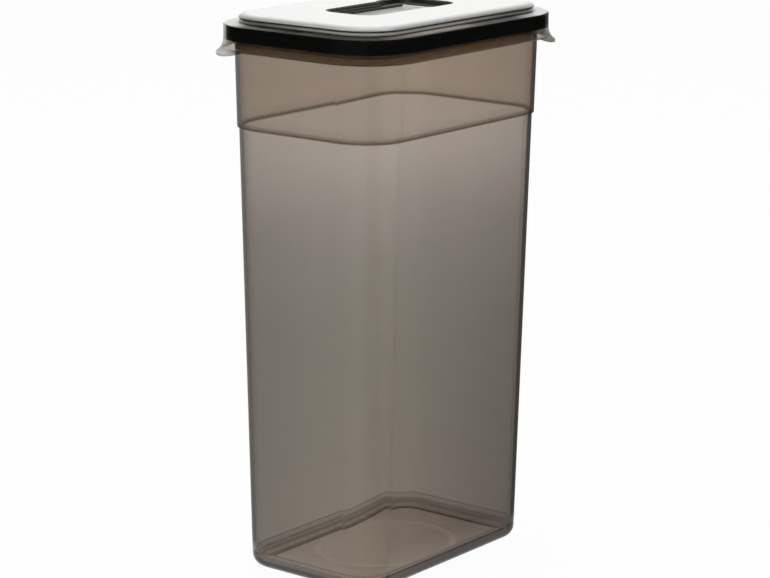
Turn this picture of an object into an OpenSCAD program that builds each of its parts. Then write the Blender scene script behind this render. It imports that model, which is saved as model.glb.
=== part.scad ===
/* [Container] */
// Width of the base across the narrow way (X), before the bottom edge is rounded
base_width = 87; // [82:0.2:104]
// Length of the base along the long way (Y), before the bottom edge is rounded
base_length = 138.8; // [130:0.2:158]
// Radius of the upright corners at the base
base_corner_r = 16.4; // [14:0.1:22]
// How far each side leans out between the base and the ledge
wall_draft = 6; // [2:0.1:8]
// Height of the ledge that marks the upper band
ledge_height = 235.6; // [180:0.2:255]
// How far the upper band stands out from the wall under it
ledge_step = 1.04; // [0.8:0.02:2]
// Wall thickness of the container
wall = 1.8; // [1.4:0.1:2.4]
// Thickness of the container's floor
floor_t = 2; // [1.6:0.1:2.6]
// Outer radius of the rounded bottom edge
base_edge_r = 6; // [5:0.5:8]
// Radius of the cove between the inside's walls and floor
cove_r = 6.2; // [4:0.1:8]
// How far the inside steps in where the cove starts
cove_step = 0.7; // [0.2:0.05:1]
// Height of the foot rim that the container stands on
foot_h = 0.8; // [0.4:0.1:1.4]
// Width of the foot rim
foot_w = 2.2; // [1.5:0.1:4]
// Height of the container's rim
rim_height = 285.2; // [270:0.2:320]
// Height of the bead round the rim
rim_bead_h = 3.2; // [2.4:0.1:4]
// How far the rim bead stands out from the wall
rim_bead_out = 2.2; // [2:0.1:3.4]
// Radius of the sunk panel's rounded ends in the floor
panel_r = 32; // [20:0.5:34.5]
// Half length of the panel's straight sides
panel_straight = 9; // [0:0.5:20]
// Depth of the sunk panel
panel_sink = 0.2; // [0.2:0.1:0.8]
// Slope width of the panel's edge
panel_slope = 3; // [0.5:0.5:4]

/* [Rim seal] */
// Thickness of the seal's web that lies on the rim
seal_web = 2; // [1.4:0.1:3]
// Thickness of the seal's outer leg
seal_leg = 1.2; // [1:0.1:2]
// Full height of the seal's outer leg
seal_leg_h = 6.3; // [5:0.1:7.5]
// Radius of the two ribs moulded on the leg's inner face
seal_rib_r = 0.3; // [0.2:0.05:0.3]
// How far the seal's leg is keyed up into the flange
seal_key = 1; // [0.5:0.1:1.2]
// Fit clearance round the seal's leg
seal_fit = 0.05; // [0.02:0.01:0.1]
// Sliding clearance between the rim bead and the seal
rim_play = 0.6; // [0.6:0.05:1]

/* [Lid frame] */
// Thickness of the skirt
skirt_t = 1.5; // [1:0.1:2]
// Thickness of the flange and deck
flange_t = 1.6; // [1.2:0.1:2.2]
// Depth of the skirt from the flange's top
skirt_depth = 13; // [11.5:0.1:14]
// Outer radius of the skirt's shoulder
shoulder_r = 1; // [0.8:0.1:1.4]
// Radius of the bead inside the skirt's lower edge
snap_bead_r = 0.7; // [0.5:0.1:1.4]
// Thickness of the plug wall that enters the container
plug_t = 1.5; // [1:0.1:2]
// Depth of the plug wall under the flange
plug_depth = 9; // [6:0.5:14]
// Clearance between the plug wall and the container
plug_play = 0.4; // [0.3:0.05:0.8]
// How far a corner tab flares out from the skirt
tab_reach = 3.8; // [3:0.1:5]
// How far a corner tab hangs below the skirt
tab_drop = 2.9; // [1.5:0.1:3.5]
// Height of a corner tab's flare above its tip
tab_rise = 7; // [5:0.1:8]
// Thickness of a corner tab
tab_t = 1.1; // [0.9:0.1:1.6]
// Radius of a corner tab's outline in plan
tab_lobe_r = 24; // [20:0.5:27]

/* [Spout base] */
// How far the platform's edge lies inside the skirt's outer face
platform_inset = 8; // [7.6:0.1:12]
// Height from the flange's top to the seat of the cover plate
platform_rise = 2.7; // [2.4:0.1:4]
// Thickness of the platform's top and sides
platform_t = 1.6; // [1.2:0.1:1.9]
// Height of the shadow gaps above and below the platform's edge
reveal_h = 0.5; // [0.3:0.05:0.7]
// Depth of the shadow gaps
reveal_depth = 1; // [0.6:0.1:1.4]
// Thickness of the ribs under the platform
rib_t = 1.2; // [0.8:0.1:1.6]

/* [Cover plate] */
// Thickness of the cover plate
plate_t = 2.4; // [2.2:0.1:3.2]
// Radius of the wide arc that rounds the plate's top edge
plate_edge_r = 8; // [4:0.5:12]
// Height of the plate's upright side under that arc
plate_side_h = 0.5; // [0.3:0.1:1]
// How far the plate reaches past the platform's edge
plate_overhang = 0.3; // [0:0.1:1.6]
// Radius of the pegs under the plate
peg_r = 1.5; // [1:0.1:2]
// Length of the pegs
peg_len = 2.2; // [1.5:0.1:2.4]
// Distance of the pegs from the centre lines, X
peg_x = 28; // [24:1:34]
// Distance of the pegs from the centre lines, Y
peg_y = 48; // [40:1:56]

/* [Pour well] */
// Width of the plate's opening, X
well_width = 34.4; // [33:0.2:38]
// Length of the plate's opening, Y
well_length = 73.6; // [70:0.4:82]
// Corner radius of the plate's opening
well_corner_r = 9.6; // [9:0.2:12]
// Gap between the plate's opening and the collar of the well
collar_gap = 0.25; // [0.2:0.05:0.4]
// Width of the collar's top
collar_t = 0.9; // [0.8:0.1:1.1]
// How far the collar's top lies under the plate's top
collar_set = 0.5; // [0.1:0.05:0.8]
// Height of each step in the well
step_h = 1.1; // [0.8:0.05:1.2]
// Width of each step in the well
step_w = 1.5; // [1.2:0.05:1.6]
// Where the wider hinge bay starts, forward of the well's back end
bay_length = 24; // [18:0.4:26]
// How much wider the hinge bay is on each side
bay_extra = 1.6; // [1.5:0.1:3]
// Corner radius of the hinge bay's front shoulders
bay_corner_r = 2.6; // [2:0.1:3]
// Thickness of the seat under the flap
seat_t = 2.2; // [2.1:0.1:3]
// Width of the pour mouth
mouth_width = 18.4; // [16:0.2:18.8]
// Length of the pour mouth
mouth_length = 44.5; // [40:0.5:45.5]
// Corner radius of the pour mouth
mouth_corner_r = 4; // [3:0.5:5]
// Depth of the throat under the seat
throat_depth = 5; // [3:0.5:8]
// Wall thickness of the throat
throat_t = 1.2; // [1:0.1:1.3]

/* [Flap] */
// Thickness of the flap
flap_t = 2; // [1.6:0.1:2.2]
// Corner radius of the flap's plan outline
flap_corner_r = 1.5; // [0.5:0.5:3]
// Gap between the flap and the walls of the well
flap_gap = 0.3; // [0.25:0.05:0.4]
// Lift of the flap above the seat
flap_lift = 0.2; // [0.15:0.05:0.3]
// Length of the finger scoop in front of the flap
scoop_length = 7; // [6:0.5:7.5]
// How far the scoop reaches under the flap's free end
scoop_under = 1.2; // [0.8:0.1:1.4]
// Width of the finger scoop
scoop_width = 17; // [13:0.5:18]
// Corner radius of the scoop's outside
scoop_corner_r = 3; // [2:0.5:4]
// Depth of the finger scoop under the seat
scoop_depth = 3; // [2:0.5:4]
// Depth of the plug rim under the flap
flap_plug_h = 1.6; // [1:0.1:2]
// Thickness of the plug rim under the flap
flap_plug_t = 1.1; // [0.8:0.1:1.2]
// Gap between the plug rim and the mouth
flap_plug_gap = 0.4; // [0.3:0.05:0.5]
// Height of the grip lip at the flap's free end
grip_h = 0.8; // [0.5:0.1:1.2]
// Width of the grip lip
grip_w = 1.4; // [1:0.1:2]

/* [Hinge] */
// Radius of the hinge pin
pin_r = 1.1; // [0.9:0.05:1.2]
// Running clearance round the pin in the flap's barrel
pin_run = 0.05; // [0.02:0.01:0.09]
// Clearance round the pin in its sockets
pin_fit = 0.02; // [0.01:0.01:0.03]
// Depth of the pin sockets in the cheeks
socket_depth = 2; // [1.5:0.1:2.4]
// Radius of the flap's barrel
barrel_r = 2; // [1.9:0.05:2.1]
// Distance of the pin from the recess's back wall
pin_back = 3.3; // [3.1:0.1:3.6]
// Distance of the pin's axis under the flap's top
pin_drop = 1.1; // [1:0.05:1.2]
// Gap between the barrel and the groove under it
barrel_gap = 0.3; // [0.25:0.05:0.35]

/* [Spout seal] */
// Distance between the mouth and the seal groove
groove_set = 0.8; // [0.7:0.05:0.9]
// Width of the seat left between the seal groove and the barrel's groove
seat_land = 0.6; // [0.4:0.1:0.8]
// Width of the seal groove
groove_w = 1.5; // [1.2:0.1:1.6]
// Depth of the seal groove
groove_depth = 0.8; // [0.6:0.1:1]

/* [Hidden] */
$fn = 96;
eps = 0.01;

// Every wall line runs round the same four corner centres
corner_x = base_width / 2 - base_corner_r;
corner_y = base_length / 2 - base_corner_r;
draft_slope = wall_draft / ledge_height;
function lower_r(z) = base_corner_r + draft_slope * z;
function band_r(z) = lower_r(z) + ledge_step;
floor_top = foot_h + floor_t;
foot_out_r = lower_r(base_edge_r) - base_edge_r;
foot_in_r = foot_out_r - foot_w;

// Rim and lid lines, as distances from the corner centres
rim_r = band_r(rim_height) + rim_bead_out;
leg_in_r = rim_r + rim_play;
skirt_in_r = leg_in_r + seal_leg + seal_fit;
skirt_out_r = skirt_in_r + skirt_t;
plug_out_r = band_r(rim_height - plug_depth) - wall - plug_play;
plug_in_r = plug_out_r - plug_t;
platform_r = skirt_out_r - platform_inset;
plate_r = platform_r + plate_overhang;

// Levels of the lid
flange_low = rim_height + seal_web;
flange_top = flange_low + flange_t;
skirt_low = flange_top - skirt_depth;
plate_low = flange_top + platform_rise;
plate_top = plate_low + plate_t;
collar_top = plate_top - collar_set;
step_1 = collar_top - step_h;
step_2 = step_1 - step_h;
flap_top = step_2 - step_h;
flap_low = flap_top - flap_t;
seat_top = flap_low - flap_lift;
seat_low = seat_top - seat_t;

// Lines of the well: half width, half length and corner radius shrink together
well_hx = well_width / 2;
well_hy = well_length / 2;
collar_in = collar_gap + collar_t;
step_1_in = collar_in + step_w;
recess_in = step_1_in + step_w;
recess_hx = well_hx - recess_in;
recess_hy = well_hy - recess_in;
bay_front = well_hy - bay_length;

// Hinge line
pin_y = recess_hy - pin_back;
pin_z = flap_top - pin_drop;
pin_half = recess_hx + socket_depth;

// Flap lines
flap_hx = recess_hx - flap_gap;
flap_front = -recess_hy + scoop_length;
mouth_hx = mouth_width / 2;
mouth_back = pin_y - barrel_r - barrel_gap - groove_set - groove_w - seat_land;
mouth_y = mouth_back - mouth_length / 2;

// Rounded rectangle with half sizes hx and hy
module round_rect(hx, hy, r) {
    square([2 * hx, 2 * (hy - r)], center = true);
    square([2 * (hx - r), 2 * hy], center = true);
    for (sx = [-1, 1], sy = [-1, 1])
        translate([sx * (hx - r), sy * (hy - r)]) circle(r);
}

// Sweeps a profile (x out from the corner centres, y up) once round the body
module swept() {
    for (turn = [0, 180]) rotate([0, 0, turn]) {
        translate([corner_x, corner_y, 0]) rotate_extrude(angle = 90) children();
        translate([corner_x, corner_y, 0]) rotate([90, 0, 0])
            linear_extrude(2 * corner_y) children();
        rotate([0, 0, 90]) translate([corner_y, corner_x, 0])
            rotate_extrude(angle = 90) children();
        rotate([0, 0, 90]) translate([corner_y, corner_x, 0]) rotate([90, 0, 0])
            linear_extrude(2 * corner_x) children();
    }
}

// Fills the middle between the corner centres from z0 to z1
module middle(z0, z1) {
    translate([-corner_x, -corner_y, z0]) cube([2 * corner_x, 2 * corner_y, z1 - z0]);
}

// Outline of the well drawn in by inset: the long opening and its wider hinge bay
module well_outline(inset, bay_inset) {
    round_rect(well_hx - inset, well_hy - inset, well_corner_r - inset);
    bay_hx = well_hx + bay_extra - bay_inset;
    bay_back = well_hy - bay_inset;
    bay_r = well_corner_r - bay_inset;
    bay_start = bay_front + bay_inset - collar_in;
    translate([0, (bay_start + bay_back) / 2]) {
        intersection() {
            round_rect(bay_hx, (bay_back - bay_start) / 2, bay_corner_r);
            translate([0, -well_length / 2])
                round_rect(bay_hx, (bay_back - bay_start) / 2 + well_length / 2, bay_r);
        }
    }
}

// ---- Container ----

module container_outer_profile() {
    difference() {
        union() {
            polygon([[0, base_edge_r], [lower_r(base_edge_r), base_edge_r],
                     [lower_r(ledge_height), ledge_height],
                     [band_r(ledge_height), ledge_height],
                     [band_r(rim_height), rim_height], [0, rim_height]]);
            square([foot_out_r, base_edge_r + eps]);
            translate([foot_out_r, base_edge_r]) circle(base_edge_r);
        }
        translate([0, -1]) square([foot_in_r, foot_h + 1]);
    }
}

module container_inner_profile() {
    low = floor_top + cove_r;
    cove_x = lower_r(low) - wall - cove_step - cove_r;
    top = rim_height + 1;
    polygon([[0, low], [lower_r(low) - wall, low],
             [lower_r(ledge_height + wall) - wall, ledge_height + wall],
             [band_r(ledge_height + wall) - wall, ledge_height + wall],
             [band_r(top) - wall, top], [0, top]]);
    translate([0, floor_top]) square([cove_x, cove_r + eps]);
    translate([cove_x, low]) circle(cove_r);
}

module rim_bead_profile() {
    bead_low = rim_height - rim_bead_h;
    bead_round = rim_bead_h / 2;
    in_r = band_r(bead_low) - wall / 2;
    translate([in_r, bead_low]) square([rim_r - bead_round - in_r, rim_bead_h]);
    translate([rim_r - bead_round, bead_low + bead_round]) circle(bead_round);
}

// Space of the sunk panel in the floor: two round ends and the sloped sides between
module panel_space() {
    bottom_r = panel_r - panel_slope;
    for (side = [-1, 1])
        translate([0, side * panel_straight, floor_top - panel_sink])
            cylinder(r1 = bottom_r, r2 = panel_r, h = panel_sink);
    translate([0, panel_straight, floor_top]) rotate([90, 0, 0])
        linear_extrude(2 * panel_straight)
            polygon([[-bottom_r, -panel_sink], [bottom_r, -panel_sink],
                     [panel_r, 0], [panel_r, 1], [-panel_r, 1], [-panel_r, 0]]);
}

module container() {
    color([0.45, 0.41, 0.38, 0.55])
    difference() {
        union() {
            swept() {
                difference() {
                    container_outer_profile();
                    container_inner_profile();
                }
            }
            swept() rim_bead_profile();
            middle(foot_h, floor_top);
        }
        panel_space();
    }
}

// ---- Rim seal ----

module rim_seal() {
    web_in_r = plug_out_r + rim_play / 2;
    color([0.05, 0.05, 0.05])
    swept() {
        translate([web_in_r, rim_height]) square([leg_in_r + seal_leg - web_in_r, seal_web]);
        translate([leg_in_r, flange_low - seal_leg_h])
            square([seal_leg, seal_leg_h + seal_key]);
        for (rib = [1, 2])
            translate([leg_in_r, rim_height - rib * rim_bead_h / 2.4]) circle(seal_rib_r);
    }
}

// ---- Lid frame ----

module skirt_profile() {
    flange_in = platform_r - platform_t;
    translate([skirt_in_r, skirt_low]) square([skirt_t, skirt_depth - shoulder_r]);
    translate([flange_in, flange_low]) square([skirt_out_r - shoulder_r - flange_in, flange_t]);
    intersection() {
        translate([skirt_out_r - shoulder_r, flange_top - shoulder_r]) circle(shoulder_r);
        union() {
            translate([skirt_in_r, flange_top - shoulder_r - eps])
                square([skirt_t, shoulder_r + eps]);
            translate([skirt_out_r - shoulder_r - eps, flange_low])
                square([shoulder_r + eps, flange_t]);
        }
    }
    intersection() {
        translate([skirt_in_r, skirt_low + snap_bead_r]) circle(snap_bead_r);
        translate([skirt_in_r - snap_bead_r, skirt_low])
            square([snap_bead_r + skirt_t / 2, 2 * snap_bead_r]);
    }
    translate([plug_in_r, flange_low - plug_depth]) square([plug_t, plug_depth + eps]);
}

// Groove in the flange's underside that the seal's leg is keyed into
module key_profile() {
    translate([leg_in_r - seal_fit, flange_low - eps])
        square([skirt_in_r - leg_in_r + seal_fit, seal_key + eps]);
}

// Flare of a corner tab: a concave sweep that leaves the skirt and runs out to the tip
module tab_profile() {
    flare_r = (tab_rise * tab_rise + tab_reach * tab_reach) / (2 * tab_reach);
    flare_x = skirt_out_r + flare_r;
    flare_z = skirt_low - tab_drop + tab_t + tab_rise;
    intersection() {
        translate([skirt_in_r, skirt_low - tab_drop])
            square([skirt_out_r + tab_reach - skirt_in_r, tab_t + tab_rise]);
        difference() {
            translate([flare_x, flare_z]) circle(flare_r + tab_t);
            translate([flare_x, flare_z]) circle(flare_r);
        }
    }
}

module corner_tab() {
    lobe_in = skirt_out_r + tab_reach - tab_lobe_r;
    intersection() {
        rotate_extrude(angle = 90) tab_profile();
        rotate([0, 0, 45]) translate([lobe_in, 0, skirt_low - tab_drop - 1])
            cylinder(r = tab_lobe_r, h = tab_rise + tab_t + 2);
    }
}

module lid_frame() {
    color([0.62, 0.58, 0.54, 0.6])
    union() {
        difference() {
            union() {
                swept() difference() {
                    skirt_profile();
                    key_profile();
                }
                swept() translate([0, flange_low]) square([platform_r, flange_t]);
                middle(flange_low, flange_top);
            }
            translate([0, 0, flange_low - 1]) linear_extrude(flange_t + 2)
                well_outline(0, 0);
        }
        for (turn = [0, 180]) rotate([0, 0, turn])
            translate([corner_x, corner_y, 0]) corner_tab();
    }
}

// ---- Spout base ----

// Side of the platform: a round bead between two shadow gaps
module platform_profile() {
    bead_r = platform_rise / 2 - reveal_h;
    translate([0, flange_top]) square([platform_r - reveal_depth, platform_rise - reveal_h]);
    translate([0, flange_top]) square([platform_r - 2 * reveal_depth, platform_rise]);
    translate([platform_r - 2 * reveal_depth, flange_top + reveal_h])
        square([2 * reveal_depth - bead_r, 2 * bead_r]);
    translate([platform_r - bead_r, flange_top + platform_rise / 2]) circle(bead_r);
}

// Hollow under the platform, crossed by ribs
module platform_hollow() {
    pocket_r = platform_r - reveal_depth - platform_t;
    difference() {
        union() {
            swept() translate([0, flange_top - 1])
                square([pocket_r, platform_rise - platform_t + 1]);
            middle(flange_top - 1, plate_low - platform_t);
        }
        translate([0, 0, flange_top - 2]) linear_extrude(platform_rise + 2)
            well_outline(-rib_t, -rib_t);
        for (across = [-1, 1]) {
            translate([across * peg_x - rib_t / 2, -corner_y * 2, flange_top - 2])
                cube([rib_t, corner_y * 4, platform_rise + 2]);
            translate([-corner_x * 3, across * peg_y - rib_t / 2, flange_top - 2])
                cube([corner_x * 6, rib_t, platform_rise + 2]);
        }
        for (sx = [-1, 1], sy = [-1, 1])
            translate([sx * peg_x, sy * peg_y, flange_top - 2])
                cylinder(r = peg_r + platform_t, h = platform_rise + 2);
    }
}

module mouth_outline(grow) {
    translate([0, mouth_y])
        round_rect(mouth_hx + grow, mouth_length / 2 + grow, mouth_corner_r + grow);
}

// Space inside the well: two steps, the flap's recess, the bay and the mouth
module well_space() {
    high = plate_top + 1;
    translate([0, 0, step_1]) linear_extrude(high - step_1)
        well_outline(collar_in, collar_in);
    translate([0, 0, step_2]) linear_extrude(high - step_2) {
        round_rect(well_hx - step_1_in, well_hy - step_1_in, well_corner_r - step_1_in);
        difference() {
            well_outline(collar_in, collar_in);
            translate([-well_width, bay_front - well_length * 2])
                square([2 * well_width, well_length * 2]);
        }
    }
    translate([0, 0, seat_top]) linear_extrude(high - seat_top) {
        round_rect(recess_hx, recess_hy, well_corner_r - recess_in);
        translate([-recess_hx, 0]) square([2 * recess_hx, recess_hy]);
    }
    translate([0, 0, seat_low - throat_depth - 1])
        linear_extrude(high - seat_low + throat_depth) mouth_outline(0);
    translate([0, 0, seat_top - groove_depth]) linear_extrude(groove_depth + eps)
        difference() {
            mouth_outline(groove_set + groove_w);
            mouth_outline(groove_set);
        }
}

// Round scoop that lets a fingertip under the flap's free end
module scoop_space() {
    scoop_r = scoop_width / 2;
    intersection() {
        translate([0, flap_front, seat_top - scoop_depth])
            cylinder(r = scoop_r, h = scoop_depth + flap_t);
        translate([-scoop_r, -recess_hy, seat_top - scoop_depth])
            cube([scoop_width, scoop_length + scoop_under, scoop_depth + flap_t]);
    }
}

module spout_base() {
    color([0.36, 0.33, 0.30, 0.8])
    difference() {
        union() {
            difference() {
                union() {
                    swept() platform_profile();
                    middle(flange_top, plate_low);
                }
                platform_hollow();
            }
            translate([0, 0, seat_low]) linear_extrude(collar_top - seat_low)
                well_outline(collar_gap, collar_gap);
            translate([0, 0, seat_low - throat_depth])
                linear_extrude(throat_depth + eps) mouth_outline(throat_t);
            translate([0, flap_front - scoop_length / 2, seat_low - scoop_depth])
                linear_extrude(scoop_depth + eps)
                    round_rect(scoop_width / 2 + throat_t,
                               scoop_length / 2 + scoop_under + throat_t, scoop_corner_r);
        }
        well_space();
        scoop_space();
        translate([-recess_hx, pin_y, pin_z]) rotate([0, 90, 0])
            cylinder(r = barrel_r + barrel_gap, h = 2 * recess_hx);
        translate([-pin_half, pin_y, pin_z]) rotate([0, 90, 0])
            cylinder(r = pin_r + pin_fit, h = 2 * pin_half);
        for (sx = [-1, 1], sy = [-1, 1])
            translate([sx * peg_x, sy * peg_y, plate_low - peg_len - flap_lift])
                cylinder(r = peg_r + pin_fit, h = peg_len + 1);
    }
}

// ---- Cover plate ----

module plate_profile() {
    arc_drop = plate_t - plate_side_h;
    arc_in = sqrt(plate_edge_r * plate_edge_r - pow(plate_edge_r - arc_drop, 2));
    flat_r = plate_r - arc_in;
    translate([0, plate_low]) square([flat_r, plate_t]);
    intersection() {
        translate([flat_r, plate_top - plate_edge_r]) circle(plate_edge_r);
        translate([flat_r - eps, plate_low]) square([arc_in + eps, plate_t + eps]);
    }
}

module cover_plate() {
    color([0.95, 0.95, 0.94])
    union() {
        difference() {
            union() {
                swept() plate_profile();
                middle(plate_low, plate_top);
            }
            translate([0, 0, plate_low - 1]) linear_extrude(plate_t + 2)
                well_outline(0, 0);
        }
        for (sx = [-1, 1], sy = [-1, 1])
            translate([sx * peg_x, sy * peg_y, plate_low - peg_len])
                cylinder(r = peg_r, h = peg_len + eps);
    }
}

// ---- Spout seal ----

module spout_seal() {
    color([0.12, 0.12, 0.12])
    translate([0, 0, seat_top - groove_depth]) linear_extrude(groove_depth + flap_lift)
        difference() {
            mouth_outline(groove_set + groove_w - pin_fit);
            mouth_outline(groove_set + pin_fit);
        }
}

// ---- Spout flap ----

module flap_outline() {
    translate([0, (flap_front + pin_y) / 2])
        round_rect(flap_hx, (pin_y - flap_front) / 2, flap_corner_r);
}

module spout_flap() {
    color([0.80, 0.80, 0.79])
    difference() {
        union() {
            translate([0, 0, flap_low]) linear_extrude(flap_t) flap_outline();
            translate([-flap_hx, pin_y, pin_z]) rotate([0, 90, 0])
                cylinder(r = barrel_r, h = 2 * flap_hx);
            translate([0, 0, flap_low - flap_plug_h]) linear_extrude(flap_plug_h + eps)
                difference() {
                    mouth_outline(-flap_plug_gap);
                    mouth_outline(-flap_plug_gap - flap_plug_t);
                }
            translate([-scoop_width / 2 + 2, flap_front + grip_w / 2, flap_top - eps])
                cube([scoop_width - 4, grip_w, grip_h + eps]);
        }
        translate([-flap_hx - 1, pin_y, pin_z]) rotate([0, 90, 0])
            cylinder(r = pin_r + pin_run, h = 2 * flap_hx + 2);
    }
}

// ---- Hinge pin ----

module hinge_pin() {
    color([0.7, 0.7, 0.72])
    translate([-pin_half + pin_fit, pin_y, pin_z]) rotate([0, 90, 0])
        cylinder(r = pin_r, h = 2 * (pin_half - pin_fit));
}

container();
rim_seal();
lid_frame();
spout_base();
cover_plate();
spout_seal();
spout_flap();
hinge_pin();
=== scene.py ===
"""Cereal container with flip spout: materials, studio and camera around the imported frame."""
import math

import bpy
from mathutils import Matrix, Vector

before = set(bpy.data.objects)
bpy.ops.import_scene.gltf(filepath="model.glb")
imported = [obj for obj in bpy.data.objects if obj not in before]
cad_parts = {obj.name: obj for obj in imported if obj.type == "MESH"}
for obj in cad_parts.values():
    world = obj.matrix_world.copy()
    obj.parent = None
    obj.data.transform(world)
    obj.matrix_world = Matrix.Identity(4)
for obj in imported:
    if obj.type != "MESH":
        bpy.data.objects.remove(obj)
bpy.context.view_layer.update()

scene = bpy.context.scene
scene.view_settings.view_transform = "Standard"

# Directions of every piece: across the container, along it and up
NARROW_WAY = (1, 0, 0)
LONG_WAY = (0, 1, 0)
UP = (0, 0, 1)
# In plan, from one tab corner of the lid to the other
TAB_WAY = (0.567, 0.824, 0)
WHITE = (1.0, 1.0, 1.0)


def piece_box(node):
    """Lowest and highest corner of a piece."""
    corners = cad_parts[node].bound_box
    return Vector(corners[0]), Vector(corners[6])


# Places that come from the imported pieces
RIM_TOP_M = piece_box("container")[1].z
SEAL_BOTTOM_M = piece_box("rim_seal")[0].z
FLANGE_TOP_M = piece_box("lid_frame")[1].z
PLATFORM_HALF_X_M = piece_box("spout_base")[1].x

# ---- Camera: the picture is 770 by 578 pixels ----
IMAGE_WIDTH_PX = 770
FOCAL_PX = 2743.7
SENSOR_MM = 36.0
CAMERA_PLACE = (0.8663, -1.1169, 0.4768)
CAMERA_HEADING = math.radians(37.84)
CAMERA_DOWN = math.radians(13.255)
CAMERA_ROLL = math.radians(0.37)
CLIP_NEAR_M = 0.01
CLIP_FAR_M = 50


def add_camera():
    data = bpy.data.cameras.new("view_camera")
    data.sensor_width = SENSOR_MM
    data.lens = FOCAL_PX * SENSOR_MM / IMAGE_WIDTH_PX
    data.clip_start = CLIP_NEAR_M
    data.clip_end = CLIP_FAR_M
    camera = bpy.data.objects.new("view_camera", data)
    turn = (Matrix.Rotation(CAMERA_HEADING, 4, "Z")
            @ Matrix.Rotation(math.pi / 2 - CAMERA_DOWN, 4, "X")
            @ Matrix.Rotation(CAMERA_ROLL, 4, "Z"))
    camera.matrix_world = Matrix.Translation(Vector(CAMERA_PLACE)) @ turn
    scene.collection.objects.link(camera)
    scene.camera = camera


# ---- Nodes ----
class Tree:
    """The nodes of a material or the world. A value is a number, a tuple or a socket."""

    def __init__(self, node_tree):
        self.nodes = node_tree.nodes
        self.links = node_tree.links

    def put(self, value, socket):
        """Links a socket to an input, or sets the input to a number or tuple."""
        if isinstance(value, bpy.types.NodeSocket):
            self.links.new(value, socket)
        elif socket.type == "RGBA":
            socket.default_value = (*value, 1)
        else:
            socket.default_value = value

    def fill(self, node, **values):
        """Puts values into a node's inputs; _ in a name stands for a space."""
        for name, value in values.items():
            self.put(value, node.inputs[name.replace("_", " ")])

    def add(self, kind, **values):
        node = self.nodes.new(kind)
        self.fill(node, **values)
        return node

    def math(self, operation, first, second=0.0, clamp=False):
        node = self.add("ShaderNodeMath")
        node.operation = operation
        node.use_clamp = clamp
        self.put(first, node.inputs[0])
        self.put(second, node.inputs[1])
        return node.outputs[0]

    def product(self, first, second):
        return self.math("MULTIPLY", first, second)

    def absolute(self, value):
        return self.math("ABSOLUTE", value)

    def one_minus(self, value):
        return self.math("SUBTRACT", 1.0, value)

    def above(self, value, limit):
        """1 where the value is above the limit, else 0."""
        return self.math("GREATER_THAN", value, limit)

    def below(self, value, limit):
        """1 where the value is below the limit, else 0."""
        return self.math("LESS_THAN", value, limit)

    def largest(self, first, *others):
        for other in others:
            first = self.math("MAXIMUM", first, other)
        return first

    def fade(self, value, span, levels=(0.0, 1.0)):
        """Runs from the first level to the second while the value runs through the span."""
        node = self.add("ShaderNodeMapRange", Value=value, From_Min=span[0], From_Max=span[1],
                        To_Min=levels[0], To_Max=levels[1])
        return node.outputs[0]

    def along(self, vector, way):
        """How far a vector reaches along a fixed direction."""
        node = self.add("ShaderNodeVectorMath")
        node.operation = "DOT_PRODUCT"
        self.put(vector, node.inputs[0])
        self.put(way, node.inputs[1])
        return node.outputs["Value"]

    def place(self):
        """The shaded point's place on its piece."""
        return self.add("ShaderNodeTexCoord").outputs["Object"]

    def reach(self, way):
        """How far the shaded point lies along a direction of its piece."""
        return self.along(self.place(), way)

    def normal(self):
        return self.add("ShaderNodeNewGeometry").outputs["Normal"]

    def mix(self, factor, first, second, kind="RGBA", blend="MIX"):
        """Blends two values; the kind says whether they are colours, vectors or numbers."""
        node = self.add("ShaderNodeMix")
        node.data_type = kind
        node.blend_type = blend
        self.fill(node, Factor=factor, A=first, B=second)
        return node.outputs["Result"]

    def mix_shaders(self, factor, first, second):
        node = self.add("ShaderNodeMixShader", Fac=factor)
        self.put(first, node.inputs[1])
        self.put(second, node.inputs[2])
        return node.outputs[0]

    def ramp(self, value, stops):
        """Colour that changes with the value; stops are (value from 0 to 1, colour)."""
        node = self.add("ShaderNodeValToRGB", Fac=value)
        elements = node.color_ramp.elements
        while len(elements) < len(stops):
            elements.new(0.5)
        for element, (position, color) in zip(elements, stops):
            element.position = position
            element.color = (*color, 1)
        return node.outputs["Color"]

    def add_bump(self, shader, scale, strength, distance):
        """Faint unevenness of a moulded surface."""
        noise = self.add("ShaderNodeTexNoise", Vector=self.place(), Scale=scale)
        bump = self.add("ShaderNodeBump", Strength=strength, Distance=distance,
                        Height=noise.outputs["Fac"])
        self.fill(shader, Normal=bump.outputs["Normal"])
        return bump


def new_material(name, **values):
    material = bpy.data.materials.new(name)
    material.use_nodes = True
    tree = Tree(material.node_tree)
    shader = tree.nodes["Principled BSDF"]
    tree.fill(shader, **values)
    return material, tree, shader


# ---- Masks ----
FACING_UP_SPAN = (0.80, 0.95)
# The centres of the lid's rounded corners
CORNER_X_M = 0.0271
CORNER_Y_M = 0.0530


def facing_up(tree):
    """1 on faces that look up, else 0."""
    return tree.fade(tree.along(tree.normal(), UP), FACING_UP_SPAN)


def corner_distance(tree):
    """Distance out from the rectangle of the four corner centres."""
    squares = []
    for way, centre in ((NARROW_WAY, CORNER_X_M), (LONG_WAY, CORNER_Y_M)):
        past = tree.math("SUBTRACT", tree.absolute(tree.reach(way)), centre)
        past = tree.largest(past, 0.0)
        squares.append(tree.product(past, past))
    return tree.math("SQRT", tree.math("ADD", *squares))


def outside_rectangle(tree, half_x_m, half_y_m):
    """1 outside the rectangle with these half sizes, else 0."""
    return tree.largest(tree.above(tree.absolute(tree.reach(NARROW_WAY)), half_x_m),
                        tree.above(tree.absolute(tree.reach(LONG_WAY)), half_y_m))


# ---- The container's smoky wall ----
FOOT_TOP_M = 0.004
LEDGE_M = 0.2356
# The lid's skirt hangs in front of the wall from here up; above this the wall is tinted dark,
# painted shade
SKIRT_COVERS_M = RIM_TOP_M - 0.0091
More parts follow.
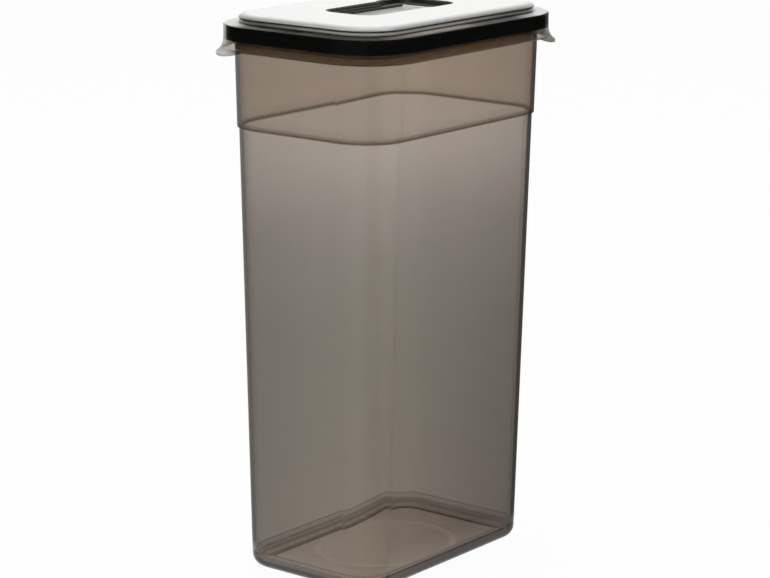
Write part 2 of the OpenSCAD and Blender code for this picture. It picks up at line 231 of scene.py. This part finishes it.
# Tint by height, partly the wall's own smoky tint and lighter up towards the ledge, in part a
# painted highlight; the ledge and the line above the foot are thin bands of painted shade, and
# painted shade fades up from just above the ledge
WALL_TINT_AND_PAINTED_SHADE_STOPS = [
    (0.0, (0.90, 0.83, 0.75)),
    (FOOT_TOP_M - 0.0001, (0.90, 0.83, 0.75)),
    (FOOT_TOP_M + 0.0001, (0.36, 0.32, 0.28)),
    (FOOT_TOP_M + 0.0010, (0.36, 0.32, 0.28)),
    (FOOT_TOP_M + 0.0012, (0.73, 0.715, 0.67)),
    (0.125, (0.73, 0.72, 0.68)),
    (0.178, (0.80, 0.79, 0.755)),
    (0.204, (0.92, 0.90, 0.87)),
    (0.226, (1.0, 0.98, 0.93)),
    (LEDGE_M - 0.0006, (1.0, 0.98, 0.92)),
    (LEDGE_M - 0.0003, (0.26, 0.22, 0.18)),
    (LEDGE_M + 0.0006, (0.26, 0.22, 0.18)),
    (LEDGE_M + 0.0009, (0.79, 0.73, 0.66)),
    (LEDGE_M + 0.0074, (0.895, 0.83, 0.755)),
    (SKIRT_COVERS_M - 0.0005, (0.885, 0.82, 0.745)),
    (SKIRT_COVERS_M, (0.44, 0.38, 0.31)),
    (RIM_TOP_M - 0.0002, (0.44, 0.38, 0.31))]
WALL_TOP_M = WALL_TINT_AND_PAINTED_SHADE_STOPS[-1][0]
# Painted shade: the wall is darker towards both tab corners
CORNER_SPAN_M = (0.030, 0.083)
TAB_CORNERS_PAINTED_SHADE = (0.88, 0.88, 0.88)
# Painted shade: it is darker still low down by one of them
SIDE_SPAN_M = (0.0, 0.083)
SIDE_HEIGHT_SPAN_M = (0.215, 0.03)
LOW_SIDE_PAINTED_SHADE = (0.87, 0.86, 0.86)
# Painted shade: the band above the ledge is darker at one end
BAND_END_SPAN_M = (-0.045, -0.065)
BAND_END_PAINTED_SHADE = (0.90, 0.90, 0.90)
# Painted shade: the foot is darker towards one tab corner
FOOT_SIDE_SPAN_M = (-0.05, 0.07)
FOOT_PAINTED_SHADE = (0.66, 0.63, 0.60)
# The panel sunk in the container's floor has soft edges, so its slope bends the light less;
# its slope is tinted paler, a painted highlight
PANEL_LEVEL = 0.995
PANEL_FLAT = 0.9995
PANEL_CALM = 0.8
PANEL_EDGE_PAINTED_HIGHLIGHT = (1.0, 0.97, 0.92)
PANEL_HIGHLIGHT_MIX = 0.7
SMOKE_COLOR = (0.36, 0.28, 0.23)
SMOKE_DENSITY = 310


def wall_painted_shade(tree, height):
    """Painted shade on the wall, as a tint that goes on top of its tint by height."""
    across = tree.reach(TAB_WAY)
    shade = tree.mix(tree.fade(tree.absolute(across), CORNER_SPAN_M), WHITE, TAB_CORNERS_PAINTED_SHADE)
    side = tree.product(tree.fade(across, SIDE_SPAN_M), tree.fade(height, SIDE_HEIGHT_SPAN_M))
    both_painted_shades = tuple(corner * more for corner, more in zip(TAB_CORNERS_PAINTED_SHADE, LOW_SIDE_PAINTED_SHADE))
    shade = tree.mix(side, shade, both_painted_shades)
    band = tree.product(tree.fade(tree.reach(LONG_WAY), BAND_END_SPAN_M),
                        tree.above(height, LEDGE_M))
    shade = tree.mix(band, shade, BAND_END_PAINTED_SHADE)
    foot = tree.product(tree.fade(across, FOOT_SIDE_SPAN_M), tree.below(height, FOOT_TOP_M))
    return tree.mix(foot, shade, FOOT_PAINTED_SHADE)


def smoky_clear():
    """Smoky see-through wall: tint by height with bands of painted shade, painted shade
    towards the corners and a painted highlight on the floor panel's slope.
    """
    material, tree, shader = new_material("smoky_clear", Roughness=0.02, IOR=1.5,
                                          Transmission_Weight=1.0)
    height = tree.reach(UP)
    by_height = tree.ramp(tree.fade(height, (0.0, WALL_TOP_M)),
                          [(stop_m / WALL_TOP_M, color) for stop_m, color in WALL_TINT_AND_PAINTED_SHADE_STOPS])
    # The painted shade goes on top of the tint by height
    tint = tree.mix(1.0, by_height, wall_painted_shade(tree, height), blend="MULTIPLY")
    normal = tree.normal()
    upward = tree.along(normal, UP)
    level = tree.above(upward, PANEL_LEVEL)
    slope = tree.product(level, tree.below(upward, PANEL_FLAT))
    # The floor panel's slope gets a painted highlight
    tint = tree.mix(tree.product(slope, PANEL_HIGHLIGHT_MIX), tint, PANEL_EDGE_PAINTED_HIGHLIGHT)
    tree.fill(shader, Base_Color=tint)
    smoke = tree.add("ShaderNodeVolumeAbsorption", Color=SMOKE_COLOR, Density=SMOKE_DENSITY)
    tree.fill(tree.nodes["Material Output"], Volume=smoke.outputs[0])
    bump = tree.add_bump(shader, scale=25, strength=0.05, distance=0.0005)
    calm = tree.mix(tree.product(level, PANEL_CALM), normal, UP, kind="VECTOR")
    tree.fill(bump, Normal=calm)
    return material


# ---- The lid frame's thin milky plastic ----
# Skirt and tabs: one tab is paler than the other, the far tab's darker tint being painted
# shade; the skirt's tint is partly painted shade and a band of painted shade runs along its
# lower edge
SKIRT_EDGE_M = FLANGE_TOP_M - 0.0124
SKIRT_OWN_AND_PAINTED_SHADE_TINT = (0.44, 0.40, 0.34)
SKIRT_EDGE_PAINTED_SHADE = (0.20, 0.17, 0.14)
NEAR_TAB_SPAN_M = (-0.0860, -0.0905)
FAR_TAB_SPAN_M = (0.070, 0.0905)
TAB_TINT = (0.66, 0.64, 0.61)
FAR_TAB_PAINTED_SHADE = (0.34, 0.33, 0.31)
TAB_HAZE = 0.5
# Above the seal's lower edge the skirt is tinted near black, painted shade that carries the
# seal's dark up to the flange, up to a paler stretch at one side
SEAL_LOW_M = SEAL_BOTTOM_M + 0.0003
SEAL_SPAN_M = (-0.050, -0.040)
SEAL_PAINTED_SHADE = (0.03, 0.03, 0.028)
SEAL_HAZE = 0.16
# The flange's top is pale at the tab corners and a little so along the far side, partly milky
# haze and partly a painted reflection of the white backdrop; elsewhere its dark tint is
# painted shade
TOP_CLEAR_PAINTED_SHADE_TINT = (0.12, 0.12, 0.115)
TOP_MILK_AND_PAINTED_REFLECTION_TINT = (0.60, 0.59, 0.58)
TOP_TAB_MILK_AND_PAINTED_REFLECTION_TINT = (0.90, 0.89, 0.87)
TOP_NEAR_SPAN_M = (-0.055, -0.084)
TOP_NEAR_MILK_AND_PAINTED_REFLECTION = 0.26
TOP_FAR_SPAN_M = (-0.03, 0.0)
TOP_FAR_MILK_AND_PAINTED_REFLECTION = 0.18
TOP_NEAR_TAB_SPAN_M = (-0.024, -0.040)
TOP_FAR_TAB_SPAN_M = (0.055, 0.078)
TOP_TAB_MILK_AND_PAINTED_REFLECTION = 0.8


def skirt_look(tree, across):
    """Tint and haze of the skirt and the tabs, with painted shade on the skirt, along its
    lower edge, on the far tab and over the seal.
    """
    height = tree.reach(UP)
    near_tab = tree.fade(across, NEAR_TAB_SPAN_M)
    far_tab = tree.fade(across, FAR_TAB_SPAN_M)
    high = tree.above(height, SEAL_LOW_M)
    seal = tree.product(high, tree.fade(tree.reach(NARROW_WAY), SEAL_SPAN_M))
    # Painted shade on the skirt, and a band of it along the lower edge
    tint = tree.mix(tree.below(height, SKIRT_EDGE_M), SKIRT_OWN_AND_PAINTED_SHADE_TINT, SKIRT_EDGE_PAINTED_SHADE)
    tint = tree.mix(near_tab, tint, TAB_TINT)
    # Painted shade on the far tab
    tint = tree.mix(far_tab, tint, FAR_TAB_PAINTED_SHADE)
    # Painted shade over the seal
    tint = tree.mix(seal, tint, SEAL_PAINTED_SHADE)
    tab_haze = tree.product(TAB_HAZE, tree.largest(near_tab, far_tab))
    tab_haze = tree.product(tab_haze, tree.one_minus(high))
    return tint, tree.largest(tab_haze, tree.product(seal, SEAL_HAZE))


def flange_look(tree, across):
    """Tint and haze of the flange's top: painted reflection at the tab corners and along the
    far side, painted shade elsewhere.
    """
    tab_levels = (0.0, TOP_TAB_MILK_AND_PAINTED_REFLECTION)
    haze = tree.largest(
        tree.fade(tree.reach(NARROW_WAY), TOP_NEAR_TAB_SPAN_M, tab_levels),
        tree.fade(across, TOP_FAR_TAB_SPAN_M, tab_levels),
        tree.fade(across, TOP_NEAR_SPAN_M, (0.0, TOP_NEAR_MILK_AND_PAINTED_REFLECTION)),
        tree.fade(across, TOP_FAR_SPAN_M, (0.0, TOP_FAR_MILK_AND_PAINTED_REFLECTION)))
    tint = tree.mix(tree.fade(haze, (0.0, TOP_FAR_MILK_AND_PAINTED_REFLECTION)), TOP_CLEAR_PAINTED_SHADE_TINT, TOP_MILK_AND_PAINTED_REFLECTION_TINT)
    tint = tree.mix(tree.fade(haze, (TOP_FAR_MILK_AND_PAINTED_REFLECTION, TOP_TAB_MILK_AND_PAINTED_REFLECTION)), tint, TOP_TAB_MILK_AND_PAINTED_REFLECTION_TINT)
    return tint, haze


def milky_clear():
    """Thin clear plastic: light passes straight on, a coat gives the gloss; its tint and haze
    carry painted shade and painted reflections.
    """
    material, tree, shader = new_material("milky_clear", Roughness=0.2, IOR=1.0,
                                          Coat_Weight=0.18, Coat_IOR=1.5, Coat_Roughness=0.08)
    across = tree.reach(TAB_WAY)
    up = facing_up(tree)
    side_tint, side_haze = skirt_look(tree, across)
    top_tint, top_milk_and_painted_reflection = flange_look(tree, across)
    haze = tree.largest(tree.product(side_haze, tree.one_minus(up)),
                        tree.product(top_milk_and_painted_reflection, up))
    tree.fill(shader, Base_Color=tree.mix(up, side_tint, top_tint),
              Transmission_Weight=tree.one_minus(haze))
    tree.add_bump(shader, scale=60, strength=0.03, distance=0.0003)
    return material


# ---- The spout base's dark tray ----
# The well's walls are painted dark, painted shade, and the treads that face up paler, painted
# light: lit and shaded copies of one smoky plastic
WELL_WALL_PAINTED_SHADE = (0.018, 0.016, 0.014)
TREAD_PAINTED_LIGHT = (0.22, 0.20, 0.18)
TRAY_SIDE_PAINTED_SHADE = (0.05, 0.045, 0.04)
# The well lies inside this rectangle
WELL_HALF_X_M = 0.030
WELL_HALF_Y_M = 0.060
# The platform's edge shows pale above the flange, a painted highlight, and darker towards the
# tab corners, painted shade; the rest of the tray's side is painted dark, painted shade
BEAD_FROM_M = PLATFORM_HALF_X_M - CORNER_X_M - 0.00085
BEAD_PAINTED_HIGHLIGHT = (0.98, 0.94, 0.88)
BEAD_END_PAINTED_SHADE = (0.34, 0.32, 0.29)
BEAD_NEAR_SPAN_M = (-0.05, -0.075)
BEAD_FAR_SPAN_M = (0.02, 0.065)


def smoky_tray():
    """Painted shade on the walls in the well with painted light on the treads, and a painted
    highlight on the platform edge.
    """
    material, tree, shader = new_material("smoky_tray", Roughness=0.15, IOR=1.5)
    well = tree.mix(facing_up(tree), WELL_WALL_PAINTED_SHADE, TREAD_PAINTED_LIGHT)
    across = tree.reach(TAB_WAY)
    ends = tree.largest(tree.fade(across, BEAD_NEAR_SPAN_M),
                        tree.fade(across, BEAD_FAR_SPAN_M))
    bead = tree.product(tree.above(corner_distance(tree), BEAD_FROM_M),
                        tree.above(tree.reach(UP), FLANGE_TOP_M))
    side = tree.mix(bead, TRAY_SIDE_PAINTED_SHADE, tree.mix(ends, BEAD_PAINTED_HIGHLIGHT, BEAD_END_PAINTED_SHADE))
    outside = outside_rectangle(tree, WELL_HALF_X_M, WELL_HALF_Y_M)
    tree.fill(shader, Base_Color=tree.mix(outside, well, side))
    tree.add_bump(shader, scale=60, strength=0.05, distance=0.0004)
    return material


# ---- The opaque pieces ----
FINE_BUMP = {"scale": 300, "strength": 0.1, "distance": 0.0002}
# Painted shade on the plate: its brightness by how much a face looks up
PLATE_PAINTED_SHADE_TONES = [(0.0, 0.16), (0.80, 0.24), (0.93, 0.58), (0.998, 0.88)]
PLATE_TINT = (1.0, 0.995, 0.98)


def white_gloss():
    """White, with painted shade where the top's edge rounds over."""
    material, tree, shader = new_material("white_gloss", Roughness=0.18)
    stops = [(upward, tuple(level * part for part in PLATE_TINT))
             for upward, level in PLATE_PAINTED_SHADE_TONES]
    tree.fill(shader, Base_Color=tree.ramp(tree.along(tree.normal(), UP), stops))
    tree.add_bump(shader, **FINE_BUMP)
    return material


def plain(name, color, rough, specular=0.5):
    """One even colour."""
    material, tree, shader = new_material(name, Base_Color=color, Roughness=rough,
                                          Specular_IOR_Level=specular)
    tree.add_bump(shader, **FINE_BUMP)
    return material


def dress(node, material):
    """Gives every face of a piece the one material."""
    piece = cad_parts[node]
    piece.data.materials.clear()
    piece.data.materials.append(material)
    for face in piece.data.polygons:
        face.material_index = 0


# ---- Studio ----
WORLD_LIGHT = 0.12
# Reflections see a white backdrop on one side only, and a grey room elsewhere
BACKDROP_WAY = (-0.613, 0.79, 0)
BACKDROP_SPAN = (0.45, 0.75)
BACKDROP_GLOSS = 1.0
ROOM_GLOSS = 0.20
# Level, and square to the backdrop's direction
ASIDE_WAY = (0.79, 0.613, 0)
STUDIO_FLOOR_SIZE_M = 12
STUDIO_FLOOR_HEIGHT_M = -0.0003
STUDIO_FLOOR_COLOR = (0.85, 0.85, 0.85)
STUDIO_FLOOR_CAMERA_WHITE = 0.97
# How bright the floor looks in reflections: under the container, at its foot, farther off
# and far aside. A pair is from one side to the other
GLOSS_UNDER = 0.5
GLOSS_FOOT = (1.0, 0.6)
GLOSS_FAR = (0.32, 0.13)
GLOSS_ASIDE = 0.05
# Where those levels run into each other: distances out from the container's corner centres
UNDER_TO_FOOT_M = (0.010, 0.012)
FOOT_TO_FAR_M = (0.025, 0.050)
# and places aside and towards the backdrop
FOOT_ASIDE_SPAN_M = (-0.04, 0.04)
FAR_ASIDE_SPAN_M = (-0.08, 0.08)
FAR_ASIDE_M = 1.80
BACKDROP_FLOOR_SPAN_M = (1.85, 1.95)


def add_area(name, place, aim, size_m, watts):
    """A square lamp at a place, turned to a point."""
    data = bpy.data.lights.new(name, "AREA")
    data.shape = "RECTANGLE"
    data.size = size_m
    data.size_y = size_m
    data.energy = watts
    light = bpy.data.objects.new(name, data)
    light.location = place
    way = Vector(aim) - Vector(place)
    light.rotation_euler = way.to_track_quat("-Z", "Y").to_euler()
    scene.collection.objects.link(light)


def white_to_rays(tree, kind, other, gloss_level, camera_white=1.0):
    """White to camera rays and to rays that came straight through, a grey level to
    glossy rays and what they become inside clear plastic, and otherwise the other."""
    path = tree.add("ShaderNodeLightPath")
    reflected = tree.math("MINIMUM", path.outputs["Glossy Depth"], 1.0)
    through = tree.math("SUBTRACT", path.outputs["Is Transmission Ray"], reflected, clamp=True)
    camera = tree.product(path.outputs["Is Camera Ray"], camera_white)
    grey = tree.add(kind, Color=WHITE, Strength=gloss_level)
    white = tree.add(kind, Color=WHITE, Strength=1.0)
    unseen = tree.mix_shaders(reflected, other, grey.outputs[0])
    return tree.mix_shaders(tree.largest(camera, through), unseen, white.outputs[0])


def add_world():
    world = bpy.data.worlds.new("studio")
    world.use_nodes = True
    scene.world = world
    tree = Tree(world.node_tree)
    background = tree.nodes["Background"]
    tree.fill(background, Color=WHITE, Strength=WORLD_LIGHT)
    ray = tree.add("ShaderNodeTexCoord").outputs["Generated"]
    gloss = tree.fade(tree.along(ray, BACKDROP_WAY), BACKDROP_SPAN,
                      (ROOM_GLOSS, BACKDROP_GLOSS))
    surface = white_to_rays(tree, "ShaderNodeBackground", background.outputs[0], gloss)
    tree.fill(tree.nodes["World Output"], Surface=surface)


def floor_gloss(tree):
    """How bright the floor looks in reflections, from place to place."""
    aside = tree.reach(ASIDE_WAY)
    distance = corner_distance(tree)
    at_foot = tree.fade(aside, FOOT_ASIDE_SPAN_M, GLOSS_FOOT)
    near = tree.mix(tree.fade(distance, UNDER_TO_FOOT_M), GLOSS_UNDER, at_foot, kind="FLOAT")
    within = tree.one_minus(tree.above(tree.absolute(aside), FAR_ASIDE_M))
    far = tree.product(tree.fade(aside, FAR_ASIDE_SPAN_M, GLOSS_FAR), within)
    far = tree.largest(far, GLOSS_ASIDE)
    level = tree.mix(tree.fade(distance, FOOT_TO_FAR_M), near, far, kind="FLOAT")
    backdrop = tree.fade(tree.reach(BACKDROP_WAY), BACKDROP_FLOOR_SPAN_M,
                         (0.0, BACKDROP_GLOSS))
    return tree.largest(level, backdrop)


def add_floor():
    bpy.ops.mesh.primitive_plane_add(size=STUDIO_FLOOR_SIZE_M,
                                     location=(0, 0, STUDIO_FLOOR_HEIGHT_M))
    floor = bpy.context.object
    floor.name = "floor"
    material, tree, shader = new_material("floor", Base_Color=STUDIO_FLOOR_COLOR,
                                          Roughness=0.6)
    surface = white_to_rays(tree, "ShaderNodeEmission", shader.outputs[0], floor_gloss(tree),
                            STUDIO_FLOOR_CAMERA_WHITE)
    tree.fill(tree.nodes["Material Output"], Surface=surface)
    floor.data.materials.append(material)


add_camera()
add_world()
add_floor()
add_area("top", place=(-0.2, 0.2, 2.2), aim=(0, 0, 0), size_m=2.0, watts=40)
add_area("front", place=(1.35, -1.74, 0.9), aim=(0, 0, 0.2), size_m=1.0, watts=8)

dress("container", smoky_clear())
dress("lid_frame", milky_clear())
dress("spout_base", smoky_tray())
dress("rim_seal", plain("black_seal", color=(0.006, 0.006, 0.005), rough=0.5, specular=0.05))
dress("cover_plate", white_gloss())
dress("spout_flap", plain("light_grey", color=(0.55, 0.55, 0.54), rough=0.2))
dress("spout_seal", plain("grey_seal", color=(0.05, 0.05, 0.05), rough=0.5))
dress("hinge_pin", plain("pin_steel", color=(0.5, 0.5, 0.52), rough=0.3))
